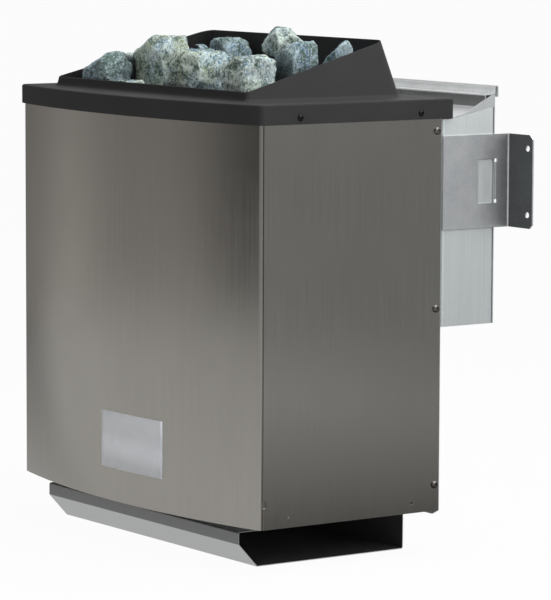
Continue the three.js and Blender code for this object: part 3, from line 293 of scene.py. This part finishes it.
def label_film():
    """Blank polyester label film, matt laminated: cool silver-grey with a barely uneven sheen."""
    material, tree = surface("blank_label_film", {"IOR": 1.57, "Metallic": 0.25})
    place = add(tree, "TexCoord").outputs["Object"]
    sheen = add(tree, "TexNoise", {"Vector": place, "Scale": per(14), "Detail": 3.0})
    tone = add(tree, "Mix", {FACTOR: sheen.outputs[0], FIRST: linear("#d6d9dd"), SECOND: linear("#e3e6e9")},
               data_type="RGBA")
    rough = add(tree, "MapRange", {"Value": sheen.outputs[0], "To Min": 0.4, "To Max": 0.52})
    return covered(material, tone, rough)


STAINLESS = brushed_stainless()
BLACK_COAT = powder_coat()
# Zinc sheet as bought; lighter copies as painted light on the deflector and lip front, darker ones as painted
# shade on the trough
ALUZINC = aluzinc_sheet("aluzinc_sheet", "#c6caca", "#dbdfdf", 0.48)
LIT_DEFLECTOR_ZINC = aluzinc_sheet("lit_deflector_aluzinc_sheet", "#cfd2d3", "#e2e4e4", 0.34)
LIT_LIP_ZINC = aluzinc_sheet("lit_lip_aluzinc_sheet", "#f0f2f2", "#fcfdfd", 0.66)
SHADED_TROUGH_ZINC = aluzinc_sheet("shaded_trough_aluzinc_sheet", "#b3b4b4", "#c6c7c7", 0.42)
SHADED_FRONT_ZINC = aluzinc_sheet("shaded_front_aluzinc_sheet", "#7a7b7b", "#8f9090", 0.5)
# The brackets' plate, and a darker copy on the front of their flanges as painted shade
GALVANISED = galvanised_plate("galvanised_plate", "#c6c8ca", "#dddede")
FLANGE_SHADE_GALVANISED = galvanised_plate("flange_shade_galvanised_plate", "#5c5e5f", "#6c6e6f")
SCALED_STEEL = scaled_steel()
TROUGH_SHADE_BLACK = trough_shade_paint()
CERAMIC = pressed_ceramic()
POLYAMIDE = moulded_polyamide()
# Stones of one quarry in three tints: blue, olive and dusty tone of each
BLUE_ROCK = broken_rock("broken_olivine_rock_blue", "#4d7398", "#687f7b", "#acbdc3")
GREY_ROCK = broken_rock("broken_olivine_rock_grey", "#7091a9", "#8d9f84", "#ccd8d4")
GREEN_ROCK = broken_rock("broken_olivine_rock_green", "#5480aa", "#8a9466", "#c6d3cd")
BRIGHT_SCREW = zinc_screw_steel("zinc_plated_screw", "#605e5a", "#7b7975")
BLACK_SCREW = zinc_screw_steel("blackened_screw", "#1c1c1d", "#333334")
LABEL = label_film()

# How the solids are dressed: points welded, flats joined, sharp edges broken and flats kept flat
WELD = 0.005 * MM
FLAT_ANGLE = math.radians(0.3)
EDGE_ANGLE = math.radians(40)
EDGE_STEPS = 2
FLAT_WEIGHT = 80


def new_piece(name, mesh, finishes, slot, *nodes):
    """A visible piece on the heater's one body, standing for these CAD nodes."""
    piece = bpy.data.objects.new(name, mesh)
    bpy.context.scene.collection.objects.link(piece)
    for finish in finishes:
        mesh.materials.append(finish)
    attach(piece, "root")
    if nodes:
        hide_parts(*nodes)
    return piece


def solid_shape(node):
    """A CAD solid as an editable mesh, with its triangles joined back into flat faces."""
    shape = bmesh.new()
    shape.from_mesh(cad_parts[node].data)
    bmesh.ops.remove_doubles(shape, verts=shape.verts, dist=WELD)
    bmesh.ops.dissolve_limit(shape, angle_limit=FLAT_ANGLE, verts=shape.verts, edges=shape.edges)
    return shape


def to_mesh(name, shape):
    """The finished mesh of an edited shape, smooth shaded."""
    mesh = bpy.data.meshes.new(name)
    bmesh.ops.recalc_face_normals(shape, faces=shape.faces)
    for face in shape.faces:
        face.smooth = True
    shape.to_mesh(mesh)
    shape.free()
    return mesh


def broken_edges(piece, width_mm):
    """Breaks a piece's sharp edges, as deburred metal has them, and keeps its flats flat."""
    bevel = piece.modifiers.new("broken_edges", "BEVEL")
    bevel.width = width_mm * MM
    bevel.segments = EDGE_STEPS
    bevel.limit_method = "ANGLE"
    bevel.angle_limit = EDGE_ANGLE
    even = piece.modifiers.new("flat_faces", "WEIGHTED_NORMAL")
    even.weight = FLAT_WEIGHT


def dressed(node, name, finish, slot, edge_mm, others=(), choose=None):
    """A CAD solid's own shape with broken edges and its finish.
    Where choose is given, it says for each face 0 for that finish or the number of one of the others."""
    shape = solid_shape(node)
    if choose:
        for face in shape.faces:
            face.material_index = choose(face)
    piece = new_piece(name, to_mesh(name, shape), [finish, *others], slot, node)
    broken_edges(piece, edge_mm)


# Faces that take copies painting light or shade: how square-on a front is, how far a side of the trough may
# turn to its ends, and where the brackets' flanges and the deflector's lip begin
SQUARE_ON = 0.95
ENDWISE = 0.5
TROUGH_INSIDE, TROUGH_FACE = 1, 2
FLANGE_THICK = 6 * MM
LIP_HEIGHT = 9 * MM
trough_core = sum(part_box("air_trough"), Vector()) / 2
bracket_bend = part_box("wall_bracket_right")[1].y - FLANGE_THICK
lip_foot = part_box("deflector_rail")[1].z - LIP_HEIGHT


def faces_front(face):
    """Whether a face looks straight forward."""
    return face.normal.y < -SQUARE_ON


def flange_front(face):
    """The front of a bracket's flange takes the darker copy of the plate, painted shade."""
    return int(faces_front(face) and face.calc_center_median().y > bracket_bend)


def rail_lip(face):
    """The upright front of the deflector's lip takes a near-white copy of the sheet, painted light."""
    return int(faces_front(face) and face.calc_center_median().z > lip_foot)


def trough_side(face):
    """The trough is black inside, dark at its upright front and a slightly darker copy of the sheet
    elsewhere; all three are painted shade.
    """
    inward = trough_core - face.calc_center_median()
    inward.x = 0
    if face.normal.dot(inward) > 0 and abs(face.normal.x) < ENDWISE:
        return TROUGH_INSIDE
    return TROUGH_FACE if faces_front(face) else 0


# CAD solid, piece, finish, record slot and width of the broken edges in mm.
# A few have copies of their finish that paint light or shade, and a function that says which faces have them.
SINGLES = (
    ("front_panel", "front_sheet", STAINLESS, "stainless", 0.12),
    ("rear_panel", "rear_tray", ALUZINC, "aluzinc", 0.3),
    ("top_frame", "hood_frame", BLACK_COAT, "black_frame", 0.45),
    ("shaft_front", "shaft_front_sheet", ALUZINC, "aluzinc", 0.25),
    ("shaft_rear", "shaft_rear_sheet", ALUZINC, "aluzinc", 0.25),
    ("front_rail", "front_carrier", ALUZINC, "aluzinc", 0.25),
    ("rear_rail", "rear_carrier", ALUZINC, "aluzinc", 0.25),
    ("duct_back", "duct_rear_sheet", ALUZINC, "aluzinc", 0.08),
    ("deflector_rail", "air_deflector", LIT_DEFLECTOR_ZINC, "aluzinc", 0.3, [LIT_LIP_ZINC], rail_lip),
    ("air_trough", "air_channel", SHADED_TROUGH_ZINC, "aluzinc", 0.3, [TROUGH_SHADE_BLACK, SHADED_FRONT_ZINC], trough_side),
    ("terminal_box", "wiring_box", ALUZINC, "aluzinc", 0.25),
    ("terminal_cover", "wiring_cover", ALUZINC, "aluzinc", 0.25),
    ("terminal_block", "wiring_block", POLYAMIDE, "polyamide", 0.6),
    ("cable_gland", "cable_bush", POLYAMIDE, "polyamide", 0.5),
    ("gland_locknut", "bush_nut", POLYAMIDE, "polyamide", 0.4),
    ("stone_grate", "stone_grid", SCALED_STEEL, "heater_steel", 0.4),
)
# The same for what is there at the right and at the left
PAIRS = (
    ("side_panel_", "side_sheet_", STAINLESS, "stainless", 0.12),
    ("shaft_side_", "shaft_sheet_", ALUZINC, "aluzinc", 0.25),
    ("grate_ledge_", "grate_rest_", ALUZINC, "aluzinc", 0.25),
    ("element_comb_", "element_rest_", ALUZINC, "aluzinc", 0.25),
    ("duct_cheek_", "duct_side_", ALUZINC, "aluzinc", 0.3),
    ("wall_bracket_", "hanging_bracket_", GALVANISED, "galvanised", 0.2, [FLANGE_SHADE_GALVANISED], flange_front),
)
ELEMENTS = 3
TUBE_ROUNDING = 2
INSULATORS = 6
INSULATOR_EDGE = 0.6

for row in SINGLES:
    dressed(*row)
for node_start, name_start, *dress in PAIRS:
    for side_name in SIDE_NAMES.values():
        dressed(node_start + side_name, name_start + side_name, *dress)


def element_tube(number):
    """A tubular heating element, its coarse CAD section rounded."""
    node = f"heating_element_{number}"
    tube = new_piece(f"element_tube_{number}", to_mesh(node, solid_shape(node)), [SCALED_STEEL],
                     "heater_steel", node)
    rounding = tube.modifiers.new("round_section", "SUBSURF")
    rounding.levels = rounding.render_levels = TUBE_ROUNDING


for number in range(1, ELEMENTS + 1):
    element_tube(number)
for number in range(1, INSULATORS + 1):
    dressed(f"insulator_{number}", f"leg_bush_{number}", CERAMIC, "ceramic", INSULATOR_EDGE)

# Stones: chipped at their corners, remeshed evenly, then scooped and weathered inwards. STONE_SPARE is given
# back all round, so that the heap keeps its size.
STONE_COUNT = 22
STONE_GRAIN = 1.8 * MM
STONE_SPARE = 2.5 * MM
CHIPS = 12
CHIP_REACH = (0.88, 0.98)
CHIP_LOWEST = -0.2
PATTERN_SHIFT = 9
# Size across and depth of the scoops that hammer blows leave, and of the weathering
SCOOPS = ((32 * MM, 6.0 * MM), (14 * MM, 2.6 * MM))
WEATHERING = ((40 * MM, 1.4 * MM), (10 * MM, 1.7 * MM), (4.5 * MM, 1.4 * MM))
# Stones that aren't grey
STONE_ROCK = {12: BLUE_ROCK, 13: BLUE_ROCK, 14: BLUE_ROCK, 17: BLUE_ROCK, 18: BLUE_ROCK,
              15: GREEN_ROCK, 19: GREEN_ROCK, 21: GREEN_ROCK}


def chipped(shape, dice):
    """Knocks flat chips off a stone's corners, but not where it rests."""
    for _ in range(CHIPS):
        outward = Vector((dice.uniform(-1, 1), dice.uniform(-1, 1), dice.uniform(CHIP_LOWEST, 1)))
        outward.normalize()
        middle = sum((v.co for v in shape.verts), Vector()) / len(shape.verts)
        reach = max((v.co - middle).dot(outward) for v in shape.verts)
        cut = middle + outward * reach * dice.uniform(*CHIP_REACH)
        geometry = shape.verts[:] + shape.edges[:] + shape.faces[:]
        bmesh.ops.bisect_plane(shape, geom=geometry, plane_co=cut, plane_no=outward, clear_outer=True)
        rim = [edge for edge in shape.edges if edge.is_boundary]
        bmesh.ops.holes_fill(shape, edges=rim)


def even_mesh(name, mesh, size):
    """A mesh of even small faces over the same shape."""
    coarse = bpy.data.objects.new(name, mesh)
    bpy.context.scene.collection.objects.link(coarse)
    remesh = coarse.modifiers.new("even_faces", "REMESH")
    remesh.mode = "VOXEL"
    remesh.voxel_size = size
    remesh.use_smooth_shade = True
    graph = bpy.context.evaluated_depsgraph_get()
    even = bpy.data.meshes.new_from_object(coarse.evaluated_get(graph))
    bpy.data.objects.remove(coarse)
    return even


def worn_away(spot, shift):
    """How deep a stone is scooped and weathered at a spot, with the pattern shifted for each stone."""
    worn = sum(deep * (0.5 + 0.5 * noise.noise(spot / size + shift)) for size, deep in WEATHERING)
    scooped = sum(deep * max(0, 1 - noise.voronoi(spot / size + shift)[0][0]) for size, deep in SCOOPS)
    return worn + scooped


def broken_stone(number):
    """A stone: the CAD hull with chipped corners and a scooped, weathered skin."""
    node = f"stone_{number}"
    dice = random.Random(number)
    shape = solid_shape(node)
    chipped(shape, dice)
    mesh = even_mesh(node, to_mesh(node, shape), STONE_GRAIN)
    shift = Vector([dice.uniform(0, PATTERN_SHIFT) for _ in range(3)])
    middle = sum((v.co for v in mesh.vertices), Vector()) / len(mesh.vertices)
    for vertex in mesh.vertices:
        vertex.co -= (vertex.co - middle).normalized() * (worn_away(vertex.co, shift) - STONE_SPARE)
    mesh.update()
    new_piece(f"sauna_stone_{number}", mesh, [STONE_ROCK.get(number, GREY_ROCK)], "stone", node)


for number in range(1, STONE_COUNT + 1):
    broken_stone(number)

# Screws: pan heads at the side panels' rear edges and in the frame's skirt
SCREW_SIDES = 24
SCREW_EDGE = 0.12
LOBES = 6
LOBE_DEPTH = 0.14
PANEL_SCREW_RADIUS = 4.6 * MM
PANEL_SCREW_INSET = 6 * MM
PANEL_SCREW_LOW = 31 * MM
PANEL_SCREW_TOP = 14 * MM
FRAME_SCREW_RADIUS = 3.6 * MM
FRAME_SCREW_FRONT = 47 * MM
FRAME_SCREW_REAR = 48.5 * MM
FRAME_SCREW_HEIGHT = 7.5 * MM
# Each ring of a pan head: radius and height as parts of the head's radius, and whether it is lobed
PAN_HEAD = ((0.4, -0.5, False), (0.4, 0, False), (1, 0, False), (1, 0.22, False), (0.94, 0.4, False),
            (0.8, 0.54, False), (0.55, 0.62, False), (0.46, 0.63, True), (0.42, 0.3, True))


def pan_head_screw(name, seat, side, radius, finish, slot):
    """A pan-head screw with a six-lobed recess, standing out of a side face."""
    shape = bmesh.new()
    rings = []
    for wide, high, lobed in PAN_HEAD:
        ring = []
        for step in range(SCREW_SIDES):
            angle = 2 * math.pi * step / SCREW_SIDES
            reach = radius * wide * (1 - LOBE_DEPTH * (0.5 - 0.5 * math.cos(LOBES * angle)) * lobed)
            spot = Vector((side * radius * high, side * reach * math.cos(angle), reach * math.sin(angle)))
            ring.append(shape.verts.new(seat + spot))
        rings.append(ring)
    for lower, upper in zip(rings, rings[1:]):
        for step in range(SCREW_SIDES):
            after = (step + 1) % SCREW_SIDES
            shape.faces.new((lower[step], lower[after], upper[after], upper[step]))
    shape.faces.new(reversed(rings[0]))
    shape.faces.new(rings[-1])
    piece = new_piece(name, to_mesh(name, shape), [finish], slot)
    broken_edges(piece, SCREW_EDGE)


panel_low, panel_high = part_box("side_panel_right")
frame_low, frame_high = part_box("top_frame")
panel_screw_y = panel_high.y - PANEL_SCREW_INSET
lowest_screw = panel_low.z + PANEL_SCREW_LOW
highest_screw = frame_low.z - PANEL_SCREW_TOP
panel_screw_heights = (lowest_screw, (lowest_screw + highest_screw) / 2, highest_screw)
frame_screw_z = frame_low.z + FRAME_SCREW_HEIGHT
frame_screw_depths = (panel_low.y + FRAME_SCREW_FRONT, frame_high.y - FRAME_SCREW_REAR)
for side, side_name in SIDE_NAMES.items():
    for number, z in enumerate(panel_screw_heights, 1):
        pan_head_screw(f"panel_screw_{side_name}_{number}", Vector((side * panel_high.x, panel_screw_y, z)),
                       side, PANEL_SCREW_RADIUS, BRIGHT_SCREW, "stainless")
    for number, y in enumerate(frame_screw_depths, 1):
        pan_head_screw(f"frame_screw_{side_name}_{number}", Vector((side * frame_high.x, y, frame_screw_z)),
                       side, FRAME_SCREW_RADIUS, BLACK_SCREW, "black_frame")

# Blank label on the front: its edges from the middle and from the side panels' foot
LABEL_LEFT, LABEL_RIGHT = -32.5 * MM, 96 * MM
LABEL_LOW, LABEL_HIGH = 39.4 * MM, 107.3 * MM
LABEL_STEPS = 24
LABEL_STAND = 0.12 * MM
LABEL_THICK = 0.2 * MM
PROBE_START = 0.1


def front_label():
    """A blank label that follows the front sheet's bow."""
    front = BVHTree.FromBMesh(solid_shape("front_panel"))
    base = panel_low.z
    shape = bmesh.new()
    columns = []
    for step in range(LABEL_STEPS + 1):
        x = LABEL_LEFT + (LABEL_RIGHT - LABEL_LEFT) * step / LABEL_STEPS
        spot = front.ray_cast(Vector((x, panel_low.y - PROBE_START, base + LABEL_HIGH)), Vector((0, 1, 0)))[0]
        column = [shape.verts.new((x, spot.y - LABEL_STAND - out, base + z))
                  for out in (0, LABEL_THICK) for z in (LABEL_LOW, LABEL_HIGH)]
        columns.append(column)
    for this, that in zip(columns, columns[1:]):
        for a, b in ((0, 1), (1, 3), (3, 2), (2, 0)):
            shape.faces.new((this[a], this[b], that[b], that[a]))
    shape.faces.new([columns[0][i] for i in (0, 2, 3, 1)])
    shape.faces.new([columns[-1][i] for i in (0, 1, 3, 2)])
    new_piece("front_label", to_mesh("front_label", shape), [LABEL], "stainless")


front_label()

# Studio: pale floor, white surround, soft lamps, and a grey room wall that only metal mirrors
FLOOR_SIZE = 40.0
FLOOR_DROP = 0.4 * MM
# How much of the floor is plain white to the eye and in mirrors, where the rest shows the shadow
FLOOR_WHITE = 0.96
FLOOR_MIRRORED = 0.8
MIRRORED_TONE = 0.9
WORLD_LIGHT = 0.3
# The wall, in metres and degrees; above its middle it has its top's lightness
WALL_RADIUS = 2.55
WALL_MIDDLE = 0.45
WALL_STEP = 3
FULL_TURN = 360
# How much bluer the mirrored room is at the right, and redder at the left
COOL_RIGHT = 0.035
# The wall's bearing in degrees from the heater's right, its height there, and how light its foot and top are
WALL = ((0, 1.2, 0.5, 0.6), (20, 0.9, 0.38, 0.38), (50, 0.9, 0.36, 0.36), (75, 1.3, 0.5, 0.5),
        (115, 0.6, 0.5, 0.5), (152, 0.6, 0.3, 0.25), (158, 3.6, 0.2, 0.16), (174, 3.6, 0.22, 0.18),
        (183, 3.0, 0.3, 0.24), (194, 2.6, 0.34, 0.27), (199, 2.6, 0.62, 0.44), (203, 2.6, 0.82, 0.54),
        (208, 2.6, 0.6, 0.44), (216, 2.6, 0.4, 0.34), (229, 2.6, 0.5, 0.43), (236, 2.6, 0.42, 0.36),
        (243, 2.6, 0.12, 0.06), (257, 2.6, 0.1, 0.05), (275, 2.2, 0.3, 0.3), (300, 2.0, 0.42, 0.42),
        (340, 1.6, 0.42, 0.42), (360, 1.2, 0.5, 0.6))
# Strips of floor with their own lightness in mirrors: name, bearing, reach to each side of it, and lightness
# at each distance out. Each lies a little above the one before.
# The right strip's dark near end is a painted shadow of the heater, seen only in mirrors.
FLOOR_STRIPS = (
    ("right_floor", 0, 0.16, 2.0, ((0.262, 0.12), (0.46, 0.18), (0.68, 0.3), (1.04, 0.44), (1.3, 0.58),
                                   (1.58, 1.0), (2.1, 1.0), (2.5, 0.84))),
    ("far_floor", 60, 1.7, -0.3, ((1.56, 0.32), (2.5, 0.34))),
    ("left_floor", 187, 0.5, 0.3, ((0.3, 0.74), (1.2, 0.42), (2.5, 0.16))),
)
STRIP_LIFT = 0.5 * MM
# Name, place, aim, size in metres and power in watts
LAMPS = (
    ("key_softbox", (-0.2, -1.9, 2.4), (0, 0, 0.4), 1.4, 11),
    ("top_softbox", (0.7, 0.4, 2.5), (0, 0, 0.4), 1.6, 46),
    ("right_softbox", (2.3, 0.3, 1.5), (0, 0, 0.3), 1.5, 25),
)
# Camera fitted to the photograph: place in metres, turn in degrees, lens and sensor in mm
CAMERA_PLACE = (3.5948, -2.44273, 0.77329)
CAMERA_TURN = (83.5417, -0.199, 55.4029)
CAMERA_LENS = 216.73
CAMERA_SENSOR = 36.0


def stage_mesh(name, corners, faces, material):
    """A mesh that belongs to the studio."""
    mesh = bpy.data.meshes.new(name)
    mesh.from_pydata(corners, [], faces)
    mesh.materials.append(material)
    thing = bpy.data.objects.new(name, mesh)
    bpy.context.scene.collection.objects.link(thing)
    return thing


def floor_paint():
    """Matt floor paint, rolled on: pale and even, white to the eye with a faint shadow.
    In mirrors it is greyer and its shadow stronger."""
    paint, tree = surface("pale_studio_floor", {"Base Color": linear("#cfcfcf"), "Roughness": 0.9})
    rays = add(tree, "LightPath")
    seen = add(tree, "Math", {0: rays.outputs["Is Camera Ray"], 1: FLOOR_WHITE}, operation="MULTIPLY")
    bent = add(tree, "Math", {0: rays.outputs["Is Glossy Ray"], 1: rays.outputs["Is Transmission Ray"]},
               operation="MAXIMUM")
    share = add(tree, "Math", {0: bent.outputs[0], 1: FLOOR_MIRRORED, 2: seen.outputs[0]},
                operation="MULTIPLY_ADD")
    level = add(tree, "MapRange", {"Value": bent.outputs[0], "To Min": 1.0, "To Max": MIRRORED_TONE})
    glow = add(tree, "Emission", {"Color": (1, 1, 1, 1), "Strength": level.outputs[0]})
    both = add(tree, "MixShader", {0: share.outputs[0], 1: tree.nodes[SHADER].outputs[0],
                                  2: glow.outputs[0]})
    tree.links.new(both.outputs[0], tree.nodes["Material Output"].inputs["Surface"])
    return paint


def white_surround():
    """The world: white where it is looked at, a soft fill light otherwise."""
    world = bpy.data.worlds.new("white_surround")
    bpy.context.scene.world = world
    world.use_nodes = True
    sky = world.node_tree
    rays = add(sky, "LightPath")
    mirrored = add(sky, "Math", {0: rays.outputs["Is Camera Ray"], 1: rays.outputs["Is Glossy Ray"]},
                   operation="MAXIMUM")
    seen = add(sky, "Math", {0: mirrored.outputs[0], 1: rays.outputs["Is Transmission Ray"]},
               operation="MAXIMUM")
    strength = add(sky, "MapRange", {"Value": seen.outputs[0], "To Min": WORLD_LIGHT, "To Max": 1.0})
    back = sky.nodes["Background"]
    back.inputs["Color"].default_value = (1, 1, 1, 1)
    sky.links.new(strength.outputs[0], back.inputs["Strength"])


def wall_at(bearing):
    """The wall's height and lightness at a bearing, between those given."""
    for (start, *before), (end, *after) in zip(WALL, WALL[1:]):
        if bearing <= end:
            part = (bearing - start) / (end - start)
            return [a + (b - a) * part for a, b in zip(before, after)]


def mirror_card(name, rows):
    """A grey sheet that only mirrored rays see. Its rows hold corners, each with its own lightness."""
    width = len(rows[0])
    corners = [corner for row in rows for corner, _ in row]
    faces = [(k, k + width, k + width + 1, k + 1) for k in range(len(corners) - width) if (k + 1) % width]
    paint, tree = surface(name + "_grey", {})
    shade = add(tree, "Attribute", attribute_name="shade")
    glow = add(tree, "Emission", {"Color": shade.outputs["Color"], "Strength": 1.0})
    tree.links.new(glow.outputs[0], tree.nodes["Material Output"].inputs["Surface"])
    card = stage_mesh(name, corners, faces, paint)
    tint = card.data.attributes.new("shade", "FLOAT_COLOR", "POINT")
    for point, ((x, _, _), level) in zip(tint.data, (spot for row in rows for spot in row)):
        cool = COOL_RIGHT * x / WALL_RADIUS
        point.color = (level * (1 - cool), level, level * (1 + cool), 1)
    card.visible_camera = card.visible_diffuse = card.visible_shadow = card.visible_transmission = False


def room_cards():
    """A round grey wall and shaded strips of floor, which give the metal something to mirror."""
    foot = cad_box[0].z
    rows = []
    for bearing in range(0, FULL_TURN + 1, WALL_STEP):
        angle = math.radians(bearing)
        x, y = WALL_RADIUS * math.cos(angle), WALL_RADIUS * math.sin(angle)
        height, low, high = wall_at(bearing)
        rows.append([((x, y, foot), low), ((x, y, foot + WALL_MIDDLE), high), ((x, y, foot + height), high)])
    mirror_card("room_wall", rows)
    for order, (name, bearing, before, after, steps) in enumerate(FLOOR_STRIPS, 1):
        angle = math.radians(bearing)
        out = Vector((math.cos(angle), math.sin(angle), 0))
        along = Vector((-math.sin(angle), math.cos(angle), 0))
        rows = []
        for distance, shade in steps:
            middle = out * distance + Vector((0, 0, foot + STRIP_LIFT * order))
            rows.append([(middle - along * before, shade), (middle + along * after, shade)])
        mirror_card(name, rows)


def studio():
    """The floor, the world, the wall and the lamps."""
    half = FLOOR_SIZE / 2
    corners = [(-half, -half, 0), (half, -half, 0), (half, half, 0), (-half, half, 0)]
    floor = stage_mesh("studio_floor", corners, [(0, 1, 2, 3)], floor_paint())
    floor.location.z = cad_box[0].z - FLOOR_DROP
    white_surround()
    room_cards()
    for name, place, aim, size, power in LAMPS:
        lamp = bpy.data.lights.new(name, "AREA")
        lamp.shape = "SQUARE"
        lamp.size = size
        lamp.energy = power
        light = bpy.data.objects.new(name, lamp)
        bpy.context.scene.collection.objects.link(light)
        light.location = place
        light.rotation_euler = (Vector(aim) - Vector(place)).to_track_quat("-Z", "Y").to_euler()


studio()


def photo_camera():
    """The camera, where the photograph was taken from."""
    eye = bpy.data.cameras.new("photo_camera")
    eye.lens = CAMERA_LENS
    eye.sensor_width = CAMERA_SENSOR
    camera = bpy.data.objects.new("photo_camera", eye)
    bpy.context.scene.collection.objects.link(camera)
    camera.location = CAMERA_PLACE
    camera.rotation_euler = [math.radians(angle) for angle in CAMERA_TURN]
    bpy.context.scene.camera = camera


photo_camera()
bpy.context.scene.view_settings.view_transform = "Standard"
